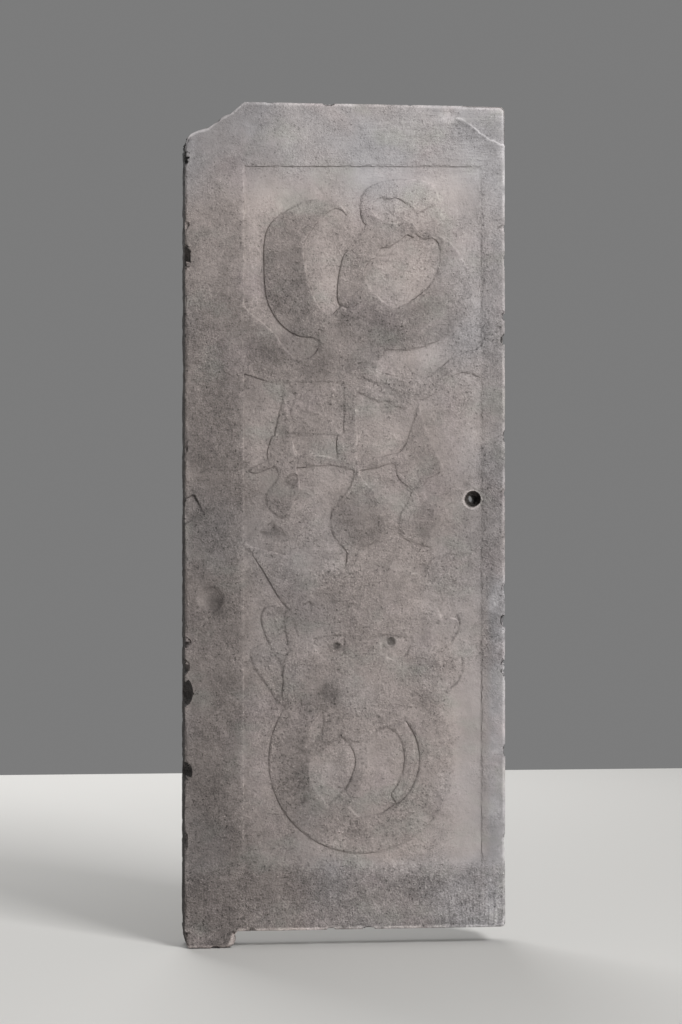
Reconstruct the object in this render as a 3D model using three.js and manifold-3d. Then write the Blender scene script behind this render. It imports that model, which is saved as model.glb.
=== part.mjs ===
// A carved stone door leaf, shown as a relief panel: a bird over a three-pronged crown,
// and under it a beast's mask with a ring hanging from its nose.
// Millimetres, +Z up, +X to the right of someone who faces the carving.
// The origin is the middle of the flat back. The carved face looks towards -Y.
import * as THREE from 'three';
import { mergeVertices } from 'three/addons/utils/BufferGeometryUtils.js';
import Module from 'manifold-3d';

const wasm = await Module();
wasm.setup();

// The slab.
const panelWidth = 586;
const panelHeight = 1500;
const panelThickness = 100;
const cornerRadius = 9;
const borderLeft = 107;
const borderRight = 43;
const borderTop = 110;
const borderTopTilt = 6;
const borderBottom = 118;

// How far each surface of the relief lies below the border.
const groundDepth = 3.6;
const plateauDepth = 2.2;
const lowerTuftDepth = 2.2;
const upperTuftDepth = 1.3;
const fringeDepth = 1.2;
const ringDepth = 0.9;
const neckGrooveDepth = 1.5;
const eyeDepth = 1.8;

// The stub below the lower left corner, on which the leaf turned. Its corners are worn round:
// seen from above by one radius, and seen from the front by their own half axes.
const stubWidth = 94;
const stubDrop = 30;
const stubDepth = 95;
const stubRadius = 18;
const stubEase = 5;
const stubLeftWear = [11, 26];
const stubRightWear = [27, 14];

// The corner that is broken away with the upper stub.
const breakWidth = 106;
const breakHeight = 73;

// The pull hole: a wide bore from the front, and from its floor a narrower one that lies nearer the edge.
const holeX = 234;
const holeZ = 32;
const holeMouthRadius = 14.5;
const holeFloor = 36;
const holeThroatRadius = 7;
const holeThroatShift = 6;

// The beast and its ring.
const maskAxis = 31;
const maskTop = -100;
const maskChin = -346;
const ringX = 30;
const ringZ = -442;
const ringRadius = 170;
const ringInnerRadius = 106;
const ringGrooveWidth = 10;

// How closely a curve is followed by its straight steps, and how far a cutter runs past a face.
const curveTolerance = 0.25;
const overrun = 3;

const left = -panelWidth / 2;
const right = panelWidth / 2;
const top = panelHeight / 2;
const bottom = -panelHeight / 2;
const fieldLeft = left + borderLeft;
const fieldRight = right - borderRight;
const fieldTop = top - borderTop;
const fieldBottom = bottom + borderBottom;

// ---- Curves ----

const vec = ([x, z]) => new THREE.Vector2(x, z);

// Keeps only the points that lie further than the tolerance from the line between their neighbours.
function thin(points, tolerance = curveTolerance) {
  const first = points[0];
  const last = points[points.length - 1];
  const chord = last.clone().sub(first);
  const length = Math.max(chord.length(), 1e-6);
  let worst = 0;
  let at = 0;
  points.forEach((point, i) => {
    const away = Math.abs(chord.cross(point.clone().sub(first))) / length;
    if (away > worst) {
      worst = away;
      at = i;
    }
  });
  if (worst < tolerance) {
    return [first, last];
  }
  return [...thin(points.slice(0, at + 1), tolerance), ...thin(points.slice(at), tolerance).slice(1)];
}

// A smooth side through a few places. Two places make a straight side.
function side(places) {
  const through = places.map(([x, z]) => new THREE.Vector3(x, z, 0));
  const curve = new THREE.CatmullRomCurve3(through, false, 'centripetal');
  return thin(curve.getPoints(places.length * 12).map((p) => new THREE.Vector2(p.x, p.y)));
}

// A closed shape whose smooth sides meet at corners: each side starts where the last one ends.
function outline(...sides) {
  const points = sides.flatMap((places, i) => {
    const next = sides[(i + 1) % sides.length][0];
    return side([...places, next]).slice(0, -1);
  });
  return new THREE.Shape(points);
}

// An arc from one tip to the other that bulges to the left of that direction.
function arc(from, to, bulge) {
  const a = vec(from);
  const b = vec(to);
  const across = b.clone().sub(a);
  const half = across.length() / 2;
  const normal = new THREE.Vector2(-across.y, across.x).normalize();
  const radius = (half * half + bulge * bulge) / (2 * Math.abs(bulge));
  const turn = 4 * Math.atan2(Math.abs(bulge), half);
  const steps = Math.max(2, Math.ceil(turn / (2 * Math.acos(1 - curveTolerance / radius))));
  const centre = a.clone().lerp(b, 0.5).addScaledVector(normal, bulge - Math.sign(bulge) * radius);
  const start = a.clone().sub(centre);
  const sweep = -Math.sign(bulge) * turn;
  return Array.from({ length: steps }, (_, i) => {
    return start.clone().rotateAround(new THREE.Vector2(), (sweep * i) / steps).add(centre);
  });
}

// A leaf between two tips, with a bulge on each side.
function leaf(from, to, leftBulge, rightBulge) {
  return new THREE.Shape([...arc(from, to, leftBulge), ...arc(to, from, rightBulge)]);
}

// A shape that is the same on both sides of an upright axis, from its right side read downwards.
function mirrored(axis, ...rightSides) {
  const half = rightSides.flatMap((places, i) => {
    const points = side(places);
    return i < rightSides.length - 1 ? points.slice(0, -1) : points;
  });
  const rightHalf = half.map((p) => new THREE.Vector2(axis + p.x, p.y));
  const leftHalf = half.map((p) => new THREE.Vector2(axis - p.x, p.y)).reverse();
  const all = [...rightHalf, ...leftHalf];
  return new THREE.Shape(all.filter((p, i) => p.distanceTo(all[(i + 1) % all.length]) > 0.01));
}

function circle(x, z, radius) {
  const turn = 2 * Math.acos(1 - curveTolerance / radius);
  const count = Math.max(10, Math.ceil((2 * Math.PI) / turn));
  const points = Array.from({ length: count }, (_, i) => {
    const angle = (2 * Math.PI * i) / count;
    return new THREE.Vector2(x + radius * Math.cos(angle), z + radius * Math.sin(angle));
  });
  return new THREE.Shape(points);
}

const polygon = (corners) => new THREE.Shape(corners.map(vec));

// ---- Solids ----

function solid(geometry) {
  const bare = geometry.index ? geometry.toNonIndexed() : geometry.clone();
  bare.deleteAttribute('normal');
  bare.deleteAttribute('uv');
  const merged = mergeVertices(bare, 1e-4);
  const vertProperties = new Float32Array(merged.attributes.position.array);
  const triVerts = new Uint32Array(merged.index.array);
  return new wasm.Manifold(new wasm.Mesh({ numProp: 3, vertProperties, triVerts }));
}

function geometryOf(body) {
  const mesh = body.getMesh();
  const geometry = new THREE.BufferGeometry();
  geometry.setAttribute('position', new THREE.BufferAttribute(new Float32Array(mesh.vertProperties), 3));
  geometry.setIndex(new THREE.BufferAttribute(new Uint32Array(mesh.triVerts), 1));
  const faceted = geometry.toNonIndexed();
  faceted.computeVertexNormals();
  return faceted;
}

// A shape drawn on the face, made solid between two depths below the border's surface.
function slice(shape, shallow, deep) {
  const geometry = new THREE.ExtrudeGeometry(shape, { depth: deep - shallow, bevelEnabled: false });
  geometry.translate(0, 0, panelThickness - deep);
  geometry.rotateX(Math.PI / 2);
  return solid(geometry);
}

function joined(bodies) {
  return bodies.reduce((all, body) => all.add(body));
}

const raised = (shapes, depth) => joined(shapes.map((shape) => slice(shape, depth, groundDepth + overrun)));
const hollow = (shapes, depth) => joined(shapes.map((shape) => slice(shape, -overrun, depth)));

// ---- The slab ----

function slabShape() {
  const breakLine = [
    [left, top - breakHeight],
    [left + 9, top - breakHeight + 13],
    [left + 24, top - breakHeight + 20],
    [left + 42, top - breakHeight + 25],
    [left + 66, top - breakHeight + 44],
    [left + 88, top - breakHeight + 56],
    [left + breakWidth, top],
  ].map(vec);
  const shape = new THREE.Shape();
  shape.moveTo(left, bottom);
  shape.lineTo(right - cornerRadius, bottom);
  shape.absarc(right - cornerRadius, bottom + cornerRadius, cornerRadius, -Math.PI / 2, 0, false);
  shape.lineTo(right, top - cornerRadius);
  shape.absarc(right - cornerRadius, top - cornerRadius, cornerRadius, 0, Math.PI / 2, false);
  breakLine.reverse().forEach((point) => shape.lineTo(point.x, point.y));
  return new THREE.Shape(shape.extractPoints(4).shape);
}

// A quarter of an ellipse, from one end of its first half axis towards the other one's end.
function quarter(centre, first, second) {
  const steps = 5;
  return Array.from({ length: steps + 1 }, (_, i) => {
    const angle = (Math.PI / 2 * i) / steps;
    return vec(centre)
      .addScaledVector(vec(first), Math.cos(angle))
      .addScaledVector(vec(second), Math.sin(angle));
  });
}

// The stub as seen from the front, run back through its depth with eased ends.
function stubFront() {
  const foot = bottom - stubDrop;
  const stubRight = left + stubWidth;
  const [leftAcross, leftUp] = stubLeftWear;
  const [rightAcross, rightUp] = stubRightWear;
  const shape = new THREE.Shape([
    ...quarter([left + leftAcross, foot + leftUp], [-leftAcross, 0], [0, -leftUp]),
    ...quarter([stubRight - rightAcross, foot + rightUp], [0, -rightUp], [rightAcross, 0]),
    vec([stubRight, bottom + stubEase + overrun]),
    vec([left, bottom + stubEase + overrun]),
  ]);
  const geometry = new THREE.ExtrudeGeometry(shape, {
    depth: stubDepth - 2 * stubEase,
    bevelEnabled: true,
    bevelThickness: stubEase,
    bevelSize: stubEase,
    bevelOffset: -stubEase,
    bevelSegments: 3,
  });
  geometry.rotateX(Math.PI / 2);
  geometry.translate(0, stubDepth - panelThickness - stubEase, 0);
  return solid(geometry);
}

// The stub as seen from above: a block with rounded upright corners.
function stubPlan() {
  const half = stubWidth / 2;
  const deep = stubDepth / 2;
  const plan = new THREE.Shape();
  plan.absarc(half - stubRadius, deep - stubRadius, stubRadius, 0, Math.PI / 2, false);
  plan.absarc(stubRadius - half, deep - stubRadius, stubRadius, Math.PI / 2, Math.PI, false);
  plan.absarc(stubRadius - half, stubRadius - deep, stubRadius, Math.PI, 1.5 * Math.PI, false);
  plan.absarc(half - stubRadius, stubRadius - deep, stubRadius, 1.5 * Math.PI, 2 * Math.PI, false);
  const geometry = new THREE.ExtrudeGeometry(plan, {
    depth: stubDrop + overrun,
    bevelEnabled: false,
    curveSegments: 5,
  });
  geometry.translate(left + half, deep - panelThickness, bottom - stubDrop);
  return solid(geometry);
}

// A flake lost from the face: it starts at nothing along a line, and is deepest at its reach,
// to the left of that line.
function flake(from, to, reach, depth) {
  const a = vec(from);
  const b = vec(to);
  const along = b.clone().sub(a);
  const outward = new THREE.Vector3(-along.y, 0, along.x).normalize();
  const backwards = new THREE.Vector3(-along.x, 0, -along.y).normalize();
  const wedge = [[-0.5, -overrun], [reach, -overrun], [reach, depth], [0, 0], [-0.5, 0]].map(vec);
  const geometry = new THREE.ExtrudeGeometry(new THREE.Shape(wedge), {
    depth: along.length(),
    bevelEnabled: false,
  });
  const turn = new THREE.Matrix4().makeBasis(outward, new THREE.Vector3(0, 1, 0), backwards);
  geometry.applyMatrix4(turn);
  geometry.translate(b.x, -panelThickness, b.y);
  return solid(geometry);
}

// A bite out of an edge: a faceted ball, turned by its own height and flattened to three radii.
function bite(x, y, z, rx, ry, rz) {
  const geometry = new THREE.IcosahedronGeometry(1, 1);
  geometry.rotateX(z);
  geometry.rotateY(2 * z);
  geometry.scale(rx, ry, rz);
  geometry.translate(x, y, z);
  return solid(geometry);
}

function breakages() {
  const face = -panelThickness;
  const leftBites = [
    // height, reach into the slab, half its height, depth from the face
    [647, 9, 13, 34],
    [468, 11, 24, 30],
    [-228, 10, 10, 24],
    [-272, 8, 14, 20],
    [-318, 16, 27, 60],
    [-462, 15, 20, 70],
    [-515, 16, 11, 44],
    [-588, 6, 16, 16],
  ];
  const rightBites = [
    [366, 6, 9, 16],
    [322, 7, 13, 18],
    [146, 4, 12, 12],
    [-131, 8, 8, 22],
    [-190, 8, 14, 18],
    [-276, 8, 17, 22],
    [-428, 4, 12, 12],
  ];
  const rowOf = (bites, x) => bites.map(([z, reach, tall, deep]) => bite(x, face, z, reach, deep, tall));
  return [
    ...rowOf(leftBites, left),
    ...rowOf(rightBites, right),
    bite(-32, face, top, 12, 14, 4),
    bite(-27, face, bottom, 9, 14, 4),
    bite(42, face, bottom, 14, 16, 5),
    // The upper right corner has flaked, most at the corner itself.
    flake([202, 725], [right + 20, 660], 130, 12),
    flake([168, top + 20], [214, 717], 90, 5),
    // The left edge has scaled, a little below the middle.
    flake([-262, 2], [left - 20, 92], 60, 9),
    flake([left - 8, -18], [-258, 4], 40, 6),
    // The break is hollowed behind the face along the broken corner.
    bite(left + 22, -12, top - breakHeight + 16, 30, 46, 16),
    bite(left + 74, -4, top - 18, 34, 52, 15),
  ];
}

function pits() {
  const face = -panelThickness;
  const worn = [
    // x, z, radius, depth below the border
    [-246, -150, 24, 5],
    [-96, 68, 10, 5],
    [-104, 54, 7, 4],
    [-135, -19, 10, 8],
    [-153, -33, 7, 7],
    [-115, -35, 6, 7],
    [74, 435, 5, 7.5],
    [-67, -160, 6, 4],
    [88, -590, 5, 4],
  ];
  return worn.map(([x, z, radius, depth]) => bite(x, face, z, radius, depth, radius));
}

function bore(x, profile) {
  const geometry = new THREE.LatheGeometry(profile.map(vec), 20);
  geometry.translate(x, -panelThickness, holeZ);
  return solid(geometry);
}

function pullHole() {
  const mouth = bore(holeX, [
    [0, -overrun],
    [holeMouthRadius, -overrun],
    [holeMouthRadius - 1, holeFloor],
    [0, holeFloor + 5],
  ]);
  const throat = bore(holeX + holeThroatShift, [
    [0, holeFloor - 2],
    [holeThroatRadius, holeFloor - 2],
    [holeThroatRadius, panelThickness + overrun],
    [0, panelThickness + overrun],
  ]);
  return mouth.add(throat);
}

// ---- The bird ----

// The left wing curls up from the body to a hooked tip.
function leftWing() {
  return outline(
    [[3, 546], [-12, 566], [-38, 574], [-72, 572], [-104, 556], [-136, 531], [-147, 505], [-149, 450],
      [-144, 395], [-128, 360], [-106, 338], [-84, 327], [-58, 324]],
    [[-47, 314], [-10, 330], [0, 350]],
    [[-38, 366], [-48, 378], [-58, 394], [-67, 416], [-74, 446], [-78, 478], [-74, 500], [-58, 527],
      [-38, 549], [-18, 560], [-7, 556]],
  );
}

// The neck drops from the head to a rounded end beside the body.
function neck() {
  return outline(
    [[46, 538], [33, 524], [14, 498], [-3, 474], [-11, 446], [-15, 415], [-14, 392], [-6, 379], [5, 376],
      [16, 382], [24, 396]],
    [[40, 372], [75, 360]],
    [[92, 374], [64, 394], [45, 413], [34, 432], [34, 450], [44, 466]],
    [[56, 472], [63, 488], [80, 492], [98, 502], [113, 514], [124, 509]],
    [[130, 526], [118, 536], [100, 533], [78, 535], [60, 541]],
  );
}

// The right wing is a broad crescent, closed on itself around a heart-shaped piece of ground.
function rightWing() {
  return outline(
    [[112, 534], [140, 519], [172, 511], [192, 499], [208, 480], [220, 459], [230, 436], [233, 412],
      [229, 389], [217, 364], [198, 342], [174, 324], [146, 311], [114, 304], [84, 304]],
    [[62, 304], [40, 330]],
    [[84, 375], [104, 383], [124, 394], [146, 412], [163, 433], [172, 455], [174, 480]],
    [[170, 500], [160, 508], [140, 507]],
  );
}

// The crest starts behind the head, climbs, and curls over a small cloud of ground.
function crest() {
  return outline(
    [[40, 528], [31, 537], [27, 556], [28, 578], [40, 596], [68, 609], [106, 614], [144, 611], [164, 598],
      [169, 582]],
    [[165, 567], [148, 562]],
    [[132, 552], [122, 562], [108, 573], [92, 581], [78, 578], [62, 580], [50, 571], [47, 558], [52, 548]],
    [[63, 541], [58, 530]],
  );
}

function birdBody() {
  return outline(
    [[fieldLeft - 6, 388], [-171, 363], [-148, 346], [-129, 327], [-111, 302], [-96, 289], [-77, 285],
      [-61, 290], [-51, 302]],
    [[-47, 320], [-58, 345]],
    [[-42, 368], [-32, 362], [-20, 369], [-8, 382], [12, 394], [40, 402]],
    [[88, 376], [90, 340]],
    [[72, 303], [62, 285]],
    [[57, 262], [82, 255], [106, 250], [130, 249], [152, 253], [172, 268], [196, 288], [226, 301]],
    [[fieldRight + 6, 310], [fieldRight + 6, 280]],
    [[fieldRight + 6, 250], [226, 262], [203, 261], [184, 246], [166, 227], [146, 219], [124, 221]],
    [[102, 226], [82, 231], [58, 239], [38, 249]],
    [[18, 250], [0, 244]],
    [[-20, 244], [-100, 244]],
    [[-130, 243], [-148, 246], [-166, 252]],
    [[fieldLeft - 6, 260], [fieldLeft - 6, 320]],
  );
}

// A narrow crescent cut round the rounded end of the neck, so that it stands clear of the body.
const neckGroove = () => leaf([-16, 391], [25, 399], -15, 19);

// The tail hangs in a fringe of scallops under the body, on both sides of the legs.
function tail() {
  return outline(
    [[-108, 250], [-97, 229], [-91, 214], [-97, 202], [-101, 188], [-96, 175], [-87, 171], [-79, 177]],
    [[-75, 189], [-64, 188]],
    [[-54, 200], [-43, 201]],
    [[-32, 211], [-18, 213]],
    [[-4, 225], [18, 226]],
    [[34, 221], [48, 213]],
    [[62, 208], [74, 210]],
    [[88, 202], [104, 196], [116, 202]],
    [[124, 210], [140, 213]],
    [[160, 223], [110, 240]],
    [[44, 254], [-30, 262]],
  );
}

function legs() {
  return outline(
    [[-3, 255], [-3, 200]],
    [[-4, 149], [-14, 148]],
    [[-15, 100], [2, 94]],
    [[20, 96], [20, 140]],
    [[18, 200], [18, 255]],
  );
}

// Ground left a little higher between the tail and the crown, with a square lower edge.
function plateau() {
  return outline(
    [[-86, 147], [-40, 148]],
    [[-6, 148], [4, 148]],
    [[4, 255], [-60, 256]],
    [[-114, 252], [-113, 200], [-106, 176]],
    [[-99, 161], [-95, 152]],
  );
}

// ---- The crown ----

function leftProng() {
  return outline(
    [[-113, 218], [-119, 196], [-124, 176]],
    [[-129, 150], [-128, 146]],
    [[-135, 142], [-141, 124], [-143, 110], [-138, 96]],
    [[-127, 88], [-123, 76], [-129, 60], [-142, 45], [-145, 30], [-143, 16], [-133, 7]],
    [[-123, 0], [-112, -3], [-103, 3], [-98, 14], [-94, 30], [-86, 40], [-85, 60], [-90, 80]],
    [[-92, 100], [-95, 125]],
    [[-100, 146], [-101, 158], [-104, 178], [-109, 200]],
  );
}

function rightProng() {
  return outline(
    [[134, 210], [137, 188], [144, 168], [151, 148], [158, 128], [168, 110], [176, 94], [176, 84]],
    [[168, 77], [152, 70], [144, 60], [143, 44], [149, 30], [159, 18], [163, 2], [163, -12], [158, -30]],
    [[156, -44], [157, -56], [146, -54], [130, -51], [114, -44], [103, -36]],
    [[97, -22], [98, -4], [105, 12], [114, 24], [118, 38]],
    [[122, 46], [116, 54], [104, 62], [95, 74], [92, 88], [90, 99]],
    [[96, 112], [108, 126], [116, 148], [122, 168], [129, 186]],
  );
}

function middleProng() {
  return outline(
    [[16, 92], [24, 82]],
    [[24, 76], [36, 60], [50, 44], [61, 20], [69, -1], [72, -16], [68, -32], [57, -45], [40, -52]],
    [[27, -60], [22, -80], [24, -108]],
    [[-5, -108], [-2, -98], [2, -80], [2, -64], [-6, -56], [-17, -44], [-25, -28], [-28, -10], [-25, 6],
      [-14, 26], [2, 44], [12, 62]],
  );
}

function crossbar() {
  return outline(
    [[-120, 118], [-88, 112], [-58, 112], [-30, 107], [-12, 102], [20, 103], [58, 106]],
    [[100, 116], [104, 104]],
    [[100, 92], [86, 97], [60, 90], [34, 85], [16, 84], [-4, 88], [-22, 93], [-60, 91]],
    [[-110, 86], [-130, 90], [-148, 84], [-164, 78]],
    [[-176, 81], [-164, 90], [-150, 97], [-136, 104]],
  );
}

// ---- The beast and the ring ----

// The mask is the same on both sides: the ears run out to the border, and the jaw hides the ring's top.
function mask() {
  const ear = fieldRight + 6 - maskAxis;
  return mirrored(
    maskAxis,
    [[0, maskTop], [60, maskTop + 3], [96, maskTop - 4], [110, -106], [119, -96]],
    [[119, -96], [126, -80], [158, -67], [204, -56]],
    [[204, -56], [ear, -42]],
    [[ear, -42], [ear, -56]],
    [[ear, -56], [206, -62]],
    [[206, -62], [181, -99], [161, -134], [146, -157], [136, -168]],
    [[136, -168], [142, -178], [143, -190], [141, -208], [138, -224], [131, -241]],
    [[131, -241], [140, -256], [145, -280], [145, -304], [147, -320], [142, maskChin]],
    [[142, maskChin], [0, maskChin]],
  );
}

const upperLeftTuft = () => outline(
  [[-100, -163], [-128, -162], [-146, -166], [-154, -182], [-150, -206], [-141, -228], [-130, -246],
    [-120, -264], [-115, -286]],
  [[-112, -306], [-90, -240]],
);

// This one starts inside the cheek's edge, which it cuts away.
const upperRightTuft = () => outline(
  [[160, -194], [174, -190], [192, -186], [205, -190], [208, -203], [203, -218], [194, -232], [180, -244]],
  [[164, -253], [158, -244], [158, -220]],
);

const lowerTufts = () => [
  outline(
    [[-150, -236], [-165, -237], [-173, -246], [-171, -262], [-164, -278], [-154, -293], [-143, -306],
      [-134, -322], [-124, -336]],
    [[-110, -347], [-105, -300], [-120, -250]],
  ),
  outline(
    [[150, -258], [180, -256], [205, -258], [213, -268], [213, -286], [206, -304], [190, -317], [174, -322]],
    [[156, -324], [150, -290]],
  ),
];

// The nose is a loop that comes over the top of the ring and falls inside it as the middle ribbon.
function nose() {
  return outline(
    [[-4, maskChin + 14], [-5, -372]],
    [[-8, -401], [20, -410], [44, -402]],
    [[43, -390], [51, -368], [47, maskChin + 14]],
  );
}

// Each eye is a sunk boat shape, with a raised disc in it that is drilled at the middle.
const eyes = () => [-1, 1].map((way) => {
  const at = (u, z) => [maskAxis + way * u, z];
  return outline(
    [at(33, -214), at(62, -217)],
    [at(93, -222), at(87, -238), at(80, -252)],
    [at(72, -259), at(58, -261), at(46, -258)],
    [at(34, -250), at(33, -232)],
  );
});

const pupils = () => [circle(-19, -235, 13), circle(81, -231, 12)];
const pupilHoles = () => [circle(-18, -236, 5.5), circle(82, -228, 8)];

// The three pieces of ground that show through the ring, between its ribbons.
const ringGround = () => [
  leaf([-74, -421], [-44, -350], 8, 17),
  outline(
    [[-8, -400], [6, -413], [16, -431], [18, -448], [13, -468], [3, -489], [-12, -507]],
    [[-33, -526], [-46, -510], [-58, -492], [-66, -470], [-66, -450]],
    [[-60, -437], [-42, -423], [-24, -410]],
  ),
  outline(
    [[74, -382], [91, -392], [103, -412], [108, -440], [104, -468], [92, -494], [84, -506]],
    [[93, -522], [70, -538], [45, -544], [22, -545]],
    [[5, -527], [13, -508], [27, -488], [36, -464], [41, -436], [46, -411], [57, -391]],
  ),
];

// A groove parts the ring from the slim ribbon that follows its inside on the right.
function ringGroove() {
  const upper = [ringX + 74, ringZ + 76];
  const lower = [ringX + 50, ringZ - 93];
  const chord = vec(upper).sub(vec(lower)).length();
  const outer = ringInnerRadius - Math.sqrt(ringInnerRadius ** 2 - (chord / 2) ** 2);
  return leaf(upper, lower, outer, ringGrooveWidth - outer);
}

// ---- The panel ----

function relief() {
  const birdShapes = [leftWing(), neck(), rightWing(), crest(), birdBody()];
  const crownShapes = [leftProng(), rightProng(), middleProng(), crossbar(), legs()];
  const bird = raised(birdShapes, 0).subtract(hollow([neckGroove()], neckGrooveDepth));
  const ring = raised([circle(ringX, ringZ, ringRadius)], ringDepth)
    .subtract(hollow([...ringGround(), ringGroove()], groundDepth));
  const face = raised([mask()], 0)
    .subtract(hollow([upperRightTuft()], groundDepth))
    .add(raised([nose()], 0))
    .subtract(hollow(eyes(), eyeDepth))
    .add(raised(pupils(), eyeDepth / 2))
    .subtract(hollow(pupilHoles(), eyeDepth + 2));
  return joined([
    bird,
    raised([tail()], fringeDepth),
    raised([plateau()], plateauDepth),
    raised(crownShapes, 0),
    raised([upperLeftTuft(), upperRightTuft()], upperTuftDepth),
    raised(lowerTufts(), lowerTuftDepth),
    ring,
    face,
  ]);
}

function panel() {
  const slab = slice(slabShape(), 0, panelThickness).add(stubFront().intersect(stubPlan()));
  const field = polygon([
    [fieldLeft, fieldBottom],
    [fieldRight, fieldBottom],
    [fieldRight, fieldTop],
    [fieldLeft, fieldTop - borderTopTilt],
  ]);
  const whole = slab.subtract(hollow([field], groundDepth)).add(relief());
  return [...breakages(), ...pits(), pullHole()].reduce((stone, cutter) => stone.subtract(cutter), whole);
}

const stone = new THREE.MeshStandardMaterial({ color: 0x8c8680, roughness: 0.92, metalness: 0 });
const stonePanel = new THREE.Mesh(geometryOf(panel()), stone);
stonePanel.name = 'stone_panel';

const leafOfDoor = new THREE.Group();
leafOfDoor.add(stonePanel);

export default leafOfDoor;
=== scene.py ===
import math

import bmesh
import bpy
import numpy as np
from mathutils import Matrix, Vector, kdtree
from mathutils.bvhtree import BVHTree


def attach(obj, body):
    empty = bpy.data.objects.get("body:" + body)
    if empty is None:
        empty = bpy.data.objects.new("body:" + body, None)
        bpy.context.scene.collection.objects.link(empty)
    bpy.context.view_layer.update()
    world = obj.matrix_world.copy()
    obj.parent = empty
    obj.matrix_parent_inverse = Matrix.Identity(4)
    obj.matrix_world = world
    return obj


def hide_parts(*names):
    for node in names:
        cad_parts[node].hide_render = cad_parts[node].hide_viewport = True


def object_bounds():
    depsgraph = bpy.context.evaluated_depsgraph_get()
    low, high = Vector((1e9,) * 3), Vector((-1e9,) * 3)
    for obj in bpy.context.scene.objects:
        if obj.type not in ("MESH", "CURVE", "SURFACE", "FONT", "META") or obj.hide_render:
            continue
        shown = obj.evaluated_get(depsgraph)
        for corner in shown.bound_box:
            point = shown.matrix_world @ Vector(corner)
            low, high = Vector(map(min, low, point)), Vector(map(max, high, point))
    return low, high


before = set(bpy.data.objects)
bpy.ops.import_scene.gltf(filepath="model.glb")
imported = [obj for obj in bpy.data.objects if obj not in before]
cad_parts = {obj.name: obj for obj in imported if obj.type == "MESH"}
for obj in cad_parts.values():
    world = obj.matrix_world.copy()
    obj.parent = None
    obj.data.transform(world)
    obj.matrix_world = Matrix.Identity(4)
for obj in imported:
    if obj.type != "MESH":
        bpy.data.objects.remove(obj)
solidLow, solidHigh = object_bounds()

# Carving is worked out in millimetres: x to the right, y into the stone, z up.
# The front of the stone is at the lowest y.

# The block that the leaf is cut from, and how finely it is divided.
block = {
    "stubDrop": 30,
    "stubWidth": 94,
    "stubLean": 0.45,  # how fast its inner end slopes in
    "stubDepth": 95,
    "cell": 6,
    "sideCells": 16,
    "stubCuts": 4,
    "holeCuts": 14,
    "breakLine": [(-293, 677), (-284, 690), (-269, 697), (-251, 702), (-227, 721), (-205, 733), (-187, 750)],
    "breakStart": 600,  # the height above which the rows close up under the broken corner
    "hole": (234, 32),
    "holeBore": [(0, 14.5, 0), (35, 13.5, 0), (38, 7, 6), (100, 7, 6)],  # how far in, radius, how far aside
    "holeReach": 30,  # how far around the hole the face is drawn in to meet it
    "mostTriangles": 186000,
    "smoothAngle": 48,
}

# How far the finer cells reach around each thing that is worn or carved.
fineBands = {
    "front": 14,
    "break": 4,
    "line": 5.5,
    "edge": 6,
    "side": 6,
    "flake": 5,
    "hole": 22,
}

# Which edges of the solid are carved lines, and how they are read.
carvedLines = {
    "flat": 0.99,  # how nearly the face on one side looks forward, at the least
    "upright": 0.02,  # how nearly the face on the other side does, at the most
    "left": -200,
    "right": 262,
    "reach": 652,  # how far up and down from the middle they lie
    "step": 0.4,
    "ahead": 50,  # how far in front of the stone each look at it starts
}

square = 0.9  # A face looks along an axis when its normal has this much of it.

left = solidLow.x * 1000
right = solidHigh.x * 1000
top = solidHigh.z * 1000
bottom = solidLow.z * 1000 + block["stubDrop"]
front = solidLow.y * 1000
back = solidHigh.y * 1000
thickness = back - front
breakEnd = block["breakLine"][-1][0]


def readPlaces(piece):
    places = np.empty(len(piece.data.vertices) * 3)
    piece.data.vertices.foreach_get("co", places)
    return places.reshape(-1, 3) * 1000


def writePlaces(piece, places):
    piece.data.vertices.foreach_set("co", (places / 1000).ravel())
    piece.data.update()


def readFaces(piece):
    count = len(piece.data.polygons)
    centres = np.empty(count * 3)
    normals = np.empty(count * 3)
    piece.data.polygons.foreach_get("center", centres)
    piece.data.polygons.foreach_get("normal", normals)
    return centres.reshape(-1, 3) * 1000, normals.reshape(-1, 3)


def readNormals(piece):
    normals = np.empty(len(piece.data.vertices) * 3)
    piece.data.vertex_normals.foreach_get("vector", normals)
    return normals.reshape(-1, 3)


def pickFaces(piece, chosen):
    bpy.context.tool_settings.mesh_select_mode = (False, False, True)
    piece.data.vertices.foreach_set("select", np.zeros(len(piece.data.vertices), bool))
    piece.data.edges.foreach_set("select", np.zeros(len(piece.data.edges), bool))
    piece.data.polygons.foreach_set("select", chosen)
    bpy.ops.object.mode_set(mode="EDIT")


def pickEdges(piece, direction, longest):
    # Picks the edges that run along one axis and are longer there than is said, in millimetres.
    places = readPlaces(piece)
    ends = np.empty(len(piece.data.edges) * 2, int)
    piece.data.edges.foreach_get("vertices", ends)
    run = np.abs(np.diff(places[ends.reshape(-1, 2)], axis=1)[:, 0])
    chosen = run[:, direction] > longest
    bpy.context.tool_settings.mesh_select_mode = (False, True, False)
    piece.data.vertices.foreach_set("select", np.zeros(len(piece.data.vertices), bool))
    piece.data.polygons.foreach_set("select", np.zeros(len(piece.data.polygons), bool))
    piece.data.edges.foreach_set("select", chosen)
    bpy.ops.object.mode_set(mode="EDIT")


def leaveEditing():
    bpy.ops.mesh.select_all(action="DESELECT")
    bpy.ops.object.mode_set(mode="OBJECT")


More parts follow.
